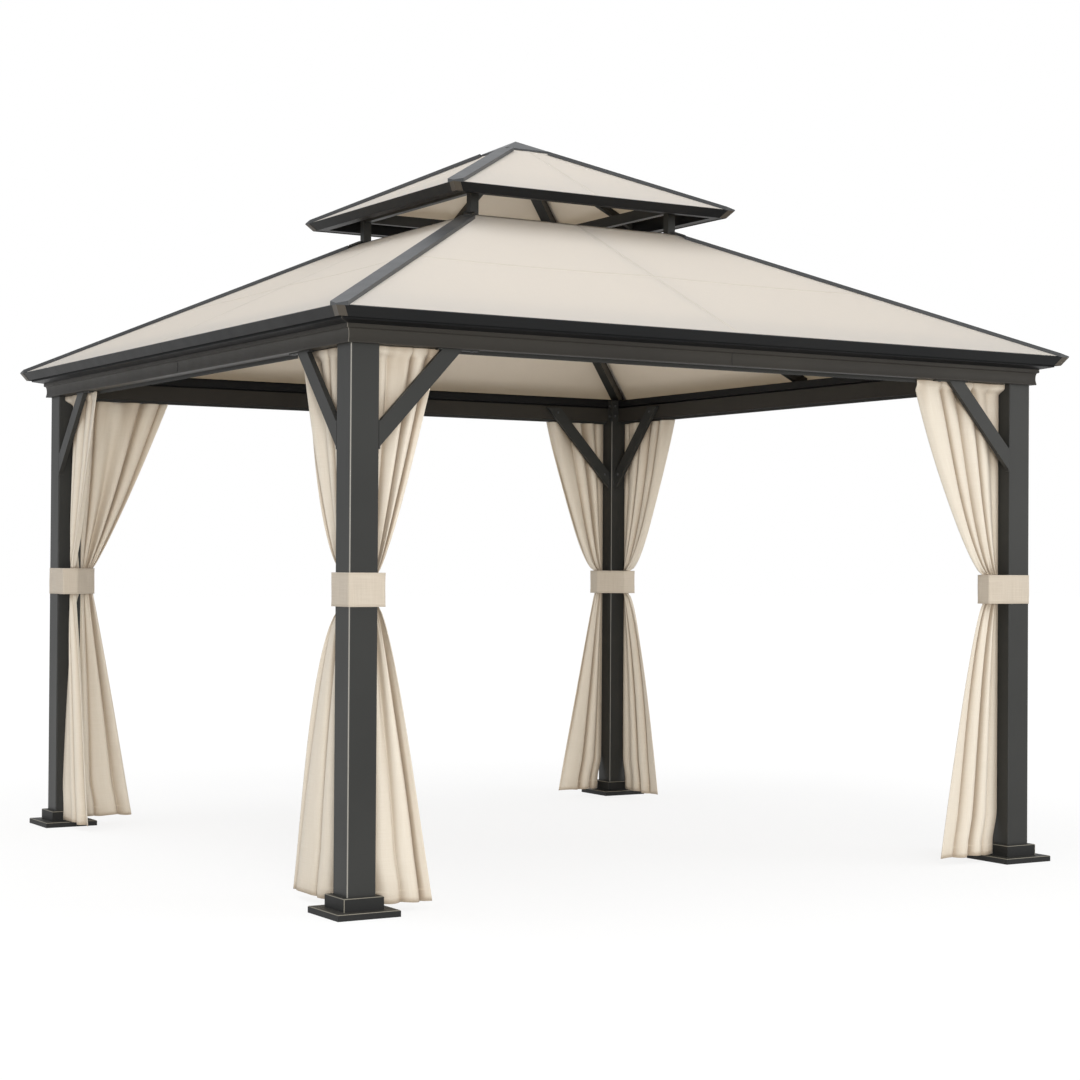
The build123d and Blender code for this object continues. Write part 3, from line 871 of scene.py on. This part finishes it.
@dataclass
class TieBand:
    """Cloth band round a post and its two curtains.

    Attributes:
        corner: the post.
        depth: how far the band goes back from the post's outer face.
        proud: distance of its cloth outside the solid band's inner line.
        thickness: of its doubled cloth.
        rows: rows of points over its height.
    """

    corner: Corner
    depth: float = 0.066
    proud: float = 0.0016
    thickness: float = 0.0022
    rows: int = 14

    def outline(self) -> np.ndarray:
        """Points round the band at even steps, rounded at its corners."""
        far, deep, out = TIE_REACH[self.corner], self.depth, self.proud
        loop = [
            (-out, -out), (far + out, -out), (far + out, deep), (deep, far + out), (-out, far + out)
        ]
        if far + deep < 2 * POST:
            loop.insert(3, (POST + out, POST + out))
        radius = 0.006
        points = []
        for i, corner in enumerate(loop):
            before, here = Vector(loop[i - 1]), Vector(corner)
            after = Vector(loop[(i + 1) % len(loop)])
            start = here + (before - here).normalized() * radius
            end = here + (after - here).normalized() * radius
            for step in range(6):
                share = step / 5
                points.append(start.lerp(here, share).lerp(here.lerp(end, share), share))
        dense = []
        for i, point in enumerate(points):
            after = points[(i + 1) % len(points)]
            steps = max(1, round((after - point).length / 0.006))
            dense += [point.lerp(after, step / steps) for step in range(steps)]
        return np.array([tuple(point) for point in dense])

    def build(self, finish: bpy.types.Material) -> bpy.types.Object:
        loop = self.outline()
        gaps = np.linalg.norm(np.roll(loop, -1, 0) - loop, axis=1)
        run = np.concatenate([[0.0], np.cumsum(gaps)])
        middle = loop.mean(0)
        points = []
        uv = []
        for row in range(self.rows + 1):
            share = row / self.rows
            ring = []
            for i, (x, y) in enumerate(loop):
                outward = np.array([x, y]) - middle
                outward /= np.linalg.norm(outward)
                soft = 0.0009 * math.sin(run[i] * 61 + share * 3) * math.sin(math.pi * share)
                edge = 0.0007 * math.exp(-min(share, 1 - share) / 0.05)
                place = np.array([x, y]) + outward * (soft + edge - 0.0004)
                z = TIE_BOTTOM + 0.001 + share * (TIE_HEIGHT - 0.002)
                start = (-POST_FACE + place[0], -POST_FACE + place[1], z)
                ring.append(turned(start, self.corner.value))
            points.append(ring)
            uv.append([(run[i], share * TIE_HEIGHT) for i in range(len(run))])
        piece = Grid(f"tie_band_{self.corner.name.lower()}", np.array(points), np.array(uv), True)
        made = piece.build(finish)
        thicken(made, self.thickness)
        place_piece(made)
        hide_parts("tie_bands")
        f"post_{self.corner.name.lower()}"
        return made


@dataclass
class Screws:
    """Pan-head screws, joined to one mesh.

    Attributes:
        name: the piece's name.
        places: (head centre, outward direction) of each screw.
        radius: the head's radius.
    """

    name: str
    places: list[tuple[Point, Point]]
    radius: float = 0.006

    def profile(self) -> list[tuple[float, float]]:
        """(radius, height) steps over a domed head with a round recess."""
        r = self.radius
        return [(r, 0.0), (r, 0.25 * r), (0.86 * r, 0.46 * r), (0.6 * r, 0.56 * r),
                (0.42 * r, 0.56 * r), (0.36 * r, 0.22 * r), (0.0, 0.22 * r)]

    def build(self, finish: bpy.types.Material) -> bpy.types.Object:
        """Make all heads as one mesh."""
        sides = 12
        vertices = []
        faces = []
        for centre, outward in self.places:
            turn = Vector(outward).to_track_quat("Z", "Y")
            base = len(vertices)
            steps = self.profile()
            for radius, height in steps[:-1]:
                for i in range(sides):
                    angle = TURN * i / sides
                    local = Vector((radius * math.cos(angle), radius * math.sin(angle), height))
                    vertices.append(tuple(Vector(centre) + turn @ local))
            for ring in range(len(steps) - 2):
                for i in range(sides):
                    after = (i + 1) % sides
                    low, high = base + ring * sides, base + (ring + 1) * sides
                    faces.append((low + i, low + after, high + after, high + i))
            last = base + (len(steps) - 2) * sides
            faces.append(tuple(last + i for i in range(sides)))
            faces.append(tuple(base + i for i in reversed(range(sides))))
        return place_piece(mesh_object(self.name, vertices, faces, finish))


@dataclass
class JointCover:
    """Narrow dark joint line on each side, where two lengths of a member meet.

    Attributes:
        name: the piece's name.
        section: (outward distance, height) points of the member's outer face.
        place: distance along the side.
        lean: how far the line leans along the side from bottom to top.
        width: its width.
        proud: how far it stands out.
    """

    name: str
    section: list[tuple[float, float]]
    place: float
    lean: float = 0.0
    width: float = 0.0022
    proud: float = 0.0004

    def build(self, finish: bpy.types.Material) -> bpy.types.Object:
        """Make all lines as one mesh of thin closed strips."""
        low = self.section[0][1]
        rise = max(self.section[-1][1] - low, 1e-6)
        vertices = []
        faces = []
        for side in Side:
            base = len(vertices)
            for distance, height in self.section:
                shift = self.lean * (height - low) / rise
                for depth in (-0.0006, self.proud):
                    for edge in (-1, 1):
                        x = self.place + shift + edge * self.width / 2
                        vertices.append(turned((x, -(distance + depth), height), side.value))
            for step in range(len(self.section) - 1):
                a, b = base + 4 * step, base + 4 * (step + 1)
                faces.append((a + 2, a + 3, b + 3, b + 2))
                faces.append((a, b, b + 1, a + 1))
                faces.append((a, a + 2, b + 2, b))
                faces.append((a + 1, b + 1, b + 3, a + 3))
            last = base + 4 * (len(self.section) - 1)
            faces.append((base, base + 1, base + 3, base + 2))
            faces.append((last, last + 2, last + 3, last + 1))
        return place_piece(mesh_object(self.name, vertices, faces, finish))


@dataclass
class Studio:
    """Floor, world, lamps and camera.

    Attributes:
        eye: the camera's place.
        heading: its turn from +Y towards +X, in degrees.
        tilt: its upward tilt in radians.
        roll: its roll in radians.
        focal: its focal length in pixels of the 1080-pixel frame.
    """

    eye: Point = (-4.940, -8.431, 1.216)
    heading: float = 31.0655
    tilt: float = 0.0106
    roll: float = 0.0065
    focal: float = 2226.0
    frame_pixels: float = 1080.0

    def camera(self) -> None:
        """Place the camera of the photograph."""
        turn = math.radians(self.heading)
        level = Vector((math.sin(turn), math.cos(turn), 0.0))
        side = Vector((math.cos(turn), -math.sin(turn), 0.0))
        up = Vector((0.0, 0.0, 1.0))
        forward = level * math.cos(self.tilt) + up * math.sin(self.tilt)
        lifted = up * math.cos(self.tilt) - level * math.sin(self.tilt)
        right = side * math.cos(self.roll) + lifted * math.sin(self.roll)
        top = lifted * math.cos(self.roll) - side * math.sin(self.roll)
        data = bpy.data.cameras.new("camera")
        data.sensor_width = 36.0
        data.lens = self.focal / self.frame_pixels * data.sensor_width
        data.clip_end = 200.0
        camera = bpy.data.objects.new("camera", data)
        bpy.context.scene.collection.objects.link(camera)
        turned_frame = Matrix((right, top, -forward)).transposed().to_4x4()
        camera.matrix_world = Matrix.Translation(self.eye) @ turned_frame
        bpy.context.scene.camera = camera

    def seen(self, graph: Graph, *kinds: str) -> Wire:
        """1 for rays of the given kinds."""
        rays = [graph.node("ShaderNodeLightPath", output=f"Is {kind} Ray") for kind in kinds]
        found = rays[0]
        for ray in rays[1:]:
            found = found.math("MAXIMUM", ray)
        return found

    def floor(self) -> None:
        """Pale floor that keeps a soft shadow on a white ground."""
        size = 60.0
        corners = [(-size, -size, 0), (size, -size, 0), (size, size, 0), (-size, size, 0)]
        graph = Graph(bpy.data.materials.new("pale_floor"))
        matt = graph.node("ShaderNodeBsdfDiffuse", None, {"Color": (0.82, 0.81, 0.79, 1.0)})
        white = {"Color": (1.0, 1.0, 1.0, 1.0), "Strength": 1.04}
        glow = graph.node("ShaderNodeEmission", None, white)
        x, y, _ = graph.place()
        far = (x * x + y * y).math("SQRT").smooth(2.6, 6.5)
        share = self.seen(graph, "Camera", "Glossy", "Transmission") * (far * 0.22 + 0.78)
        graph.close(graph.node("ShaderNodeMixShader", None, {0: share, 1: matt, 2: glow}))
        mesh_object("floor", corners, [(0, 1, 2, 3)], graph.owner)

    def world(self) -> None:
        """White ground behind the object and plain soft light around it."""
        graph = Graph(bpy.data.worlds.new("studio"))
        values = {"Color": (0.96, 0.975, 1.0, 1.0), "Strength": 0.80}
        soft = graph.node("ShaderNodeBackground", None, values)
        values = {"Color": (1.0, 1.0, 1.0, 1.0), "Strength": 1.0}
        white = graph.node("ShaderNodeBackground", None, values)
        both = {0: self.seen(graph, "Camera", "Transmission"), 1: soft, 2: white}
        graph.close(graph.node("ShaderNodeMixShader", None, both), "ShaderNodeOutputWorld")
        bpy.context.scene.world = graph.owner

    def lamp(self, name: str, place: Point, size: float, power: float, colour: Colour) -> None:
        """Large soft lamp aimed at the gazebo's middle."""
        data = bpy.data.lights.new(name, "AREA")
        data.shape = "DISK"
        data.size = size
        data.energy = power
        data.color = colour[:3]
        made = bpy.data.objects.new(name, data)
        made.location = place
        aim = Vector((0.0, 0.0, 1.5)) - Vector(place)
        made.rotation_mode = "QUATERNION"
        made.rotation_quaternion = aim.to_track_quat("-Z", "Y")
        bpy.context.scene.collection.objects.link(made)

    def build(self) -> None:
        """Make the whole studio."""
        self.camera()
        self.floor()
        self.world()
        self.lamp("key", (-9.0, -22.0, 2.0), 5.0, 2600.0, (1.0, 1.0, 0.99, 1.0))
        self.lamp("fill", (9.0, -8.0, 3.5), 5.0, 170.0, (1.0, 0.99, 0.97, 1.0))
        self.lamp("side", (-4.0, 0.5, 11.0), 5.0, 260.0, (0.98, 0.99, 1.0, 1.0))
        self.lamp("top", (-1.0, -4.0, 9.5), 6.0, 190.0, (1.0, 1.0, 1.0, 1.0))
        view = bpy.context.scene.view_settings
        view.view_transform = "Standard"


@dataclass
class Gazebo:
    """The whole dressed gazebo."""

    frame_paint: PowderCoat = PowderCoat(
        "frame_paint", srgb(45, 45, 43), srgb(50, 50, 48), srgb(150, 146, 138)
    )
    beam_paint: PowderCoat = PowderCoat(
        "beam_paint", srgb(45, 42, 38), srgb(51, 48, 43), srgb(140, 134, 124), 0.48, 0.18
    )
    eave_paint: PowderCoat = PowderCoat(
        "eave_paint", srgb(20, 21, 22), srgb(25, 25, 25), srgb(96, 92, 85), 0.44, 0.14
    )
    cover_paint: PowderCoat = PowderCoat(
        "cover_paint", srgb(31, 31, 30), srgb(36, 36, 35), srgb(150, 144, 130), 0.55, 0.2
    )
    cap_paint: PowderCoat = PowderCoat(
        "cap_paint", srgb(63, 64, 65), srgb(70, 71, 72), srgb(74, 68, 60), 0.36
    )
    joint_paint: PowderCoat = PowderCoat(
        "joint_line", srgb(24, 24, 25), srgb(28, 28, 28), srgb(40, 40, 40), 0.6, 0.2
    )
    roof_cloth: Weave = Weave(
        "roof_cloth", srgb(223, 219, 212), srgb(214, 209, 202), srgb(218, 213, 205), 0.0012, 0.3,
        through=0.40
    )
    seam_cloth: Weave = Weave(
        "seam_cloth", srgb(220, 212, 198), srgb(202, 193, 178), srgb(212, 203, 188), 0.0012, 0.3
    )
    # Curtain cloth with painted shade in its hollows and in pockets under the rail.
    curtain_cloth: Weave = Weave(
        "curtain_cloth", srgb(239, 231, 217), srgb(226, 215, 197), srgb(230, 219, 202),
        0.0016, 0.45, (0.042,), through=0.2, hollow_shade=0.62
    )
    band_cloth: Weave = Weave(
        "band_cloth", srgb(212, 201, 185), srgb(190, 177, 159), srgb(202, 190, 173), 0.0015, 0.6,
        (0.007, 0.113)
    )
    curtains: list[Curtain] = field(default_factory=lambda: [
        Curtain(Side.FRONT_RIGHT, Corner.FRONT, 0.358, 0.345, 3.3, 2.2, 0.13, 0.86, 0.80),
        Curtain(Side.FRONT_RIGHT, Corner.RIGHT, 0.580, 0.440, 4.6, 3.2, 0.41, 0.72, 0.76),
        Curtain(Side.BACK_RIGHT, Corner.RIGHT, 0.520, 0.430, 4.2, 3.0, 0.77, 0.75, 0.76),
        Curtain(Side.BACK_RIGHT, Corner.BACK, 0.585, 0.480, 4.6, 3.3, 0.29, 0.60, 0.57, -1),
        Curtain(Side.BACK_LEFT, Corner.BACK, 0.465, 0.380, 3.6, 2.6, 0.58, 0.65, 0.90, -1),
        Curtain(Side.BACK_LEFT, Corner.LEFT, 0.550, 0.390, 4.4, 2.8, 0.91, 0.88, 1.00, -1),
        Curtain(Side.FRONT_LEFT, Corner.LEFT, 0.530, 0.430, 4.3, 3.0, 0.36),
        Curtain(Side.FRONT_LEFT, Corner.FRONT, 0.500, 0.545, 3.6, 2.6, 0.67, 0.65, 0.52),
    ])

    def paint_frame(self) -> None:
        """Give every metal node its powder coat."""
        plain = self.frame_paint.material()
        mitre_highlight_mask = partial(mitre_highlights, 0.0022)
        # The masks below paint highlights in each coat's edge colour: on the posts' upright
        # corners, the covers' chamfers and collars, the mitred corners and the hip caps below their
        # eaves.
        finishes = {
            "post_": self.frame_paint.material(post_corner_highlights),
            "base_covers": self.cover_paint.material(cover_edge_highlights),
            "beam_": self.beam_paint.material(mitre_highlight_mask),
            "eave_": self.eave_paint.material(mitre_highlight_mask),
            "upper_eave": self.eave_paint.material(partial(mitre_highlights, 0.0018)),
            # Painted highlight on the hip caps' parts below the eave and below the upper edge.
            "lower_hip_caps": self.cap_paint.material(partial(below, EAVE_TOP)),
            "upper_hip_caps": self.cap_paint.material(partial(below, UPPER_EDGE)),
            "apex_cap": self.cap_paint.material(),
        }
        for name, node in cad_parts.items():
            fitting = (made for start, made in finishes.items() if name.startswith(start))
            finish = next(fitting, plain)
            node.data.materials.clear()
            node.data.materials.append(finish)
            LOG.info("%s painted", name)

    def roof(self) -> None:
        """Make both covers with their seams."""
        cloth = self.roof_cloth.material()
        tape = self.seam_cloth.material()
        sides = [side.name.lower() for side in Side]
        lower = Canopy(
            "lower_canopy", lower_roof, EAVE_HALF - 0.008, VENT_HALF + 0.001,
            [f"lower_panel_{side}" for side in sides],
            ["lower_hip_rafters", "lower_mid_rafters", "vent_ring"]
        )
        lower.build(cloth)
        upper = Canopy(
            "upper_canopy", upper_roof, UPPER_HALF - 0.007, 0.031,
            [f"upper_panel_{side}" for side in sides], ["upper_hip_rafters", "upper_mid_rafters"],
            0.004, 32, 36
        )
        upper.build(cloth)
        low, high = LOWER_SEAM
        upper_low, upper_high = UPPER_SEAM
        reach = CROSS_SEAM - CROSS_SEAM_END
        left, right = (-reach, CROSS_SEAM), (reach, CROSS_SEAM)
        for side in Side:
            name, turns = side.name.lower(), side.value
            lower.seam(f"lower_centre_seam_{name}", (0.0, low), (0.0, high), turns, tape, 0.010)
            lower.seam(f"lower_cross_seam_{name}", left, right, turns, tape, 0.008)
            upper.seam(
                f"upper_centre_seam_{name}", (0.0, upper_low), (0.0, upper_high), turns, tape, 0.009
            )

    def cloths(self) -> None:
        """Make the curtains and their bands."""
        cloth = self.curtain_cloth.material()
        band = self.band_cloth.material()
        for curtain in self.curtains:
            curtain.build(cloth)
        for corner in Corner:
            TieBand(corner).build(band)

    def fasteners(self) -> None:
        """Make the screws of the connectors and braces, and the joint lines."""
        steel = self.cap_paint.material()
        places = []
        upstand = POST_FACE - POST
        outer = [
            ((-upstand + 0.0002, -upstand - 0.020, height), (1, 0, 0))
            for height in CONNECTOR_SCREWS
        ]
        reach, height = OUTER_BRACE_SCREW
        outer.append(((-POST_FACE + reach, -POST_FACE + 0.011, height), (0, 0, -1)))
        inner = [
            ((-POST_FACE + reach, -POST_FACE + 0.090, height), (0, 1, 0))
            for reach, height in INNER_BRACE_SCREWS
        ]
        for corner in Corner:
            local = outer + inner if corner is Corner.BACK else outer
            for mirrored in (False, True):
                for centre, outward in local:
                    if mirrored:
                        centre = (centre[1], centre[0], centre[2])
                        outward = (outward[1], outward[0], outward[2])
                    places.append((turned(centre, corner.value), turned(outward, corner.value)))
        Screws("frame_screws", places).build(steel)
        dark = self.joint_paint.material()
        for name, section, place, lean in (
            ("fascia_joints", FASCIA_FACE, 0.05, 0.02),
            ("beam_joints", BEAM_FACE, 0.03, 0.0),
            ("upper_fascia_joints", UPPER_FASCIA_FACE, 0.0, 0.012),
        ):
            JointCover(name, section, place, lean).build(dark)

    def build(self) -> None:
        """Dress every part of the gazebo."""
        self.paint_frame()
        self.roof()
        self.cloths()
        self.fasteners()


def main() -> None:
    """Dress the gazebo, set up the studio and note the sizes."""
    logging.basicConfig(level=logging.INFO, format="%(message)s")
    Gazebo().build()
    Studio().build()


if __name__ == "__main__":
    main()
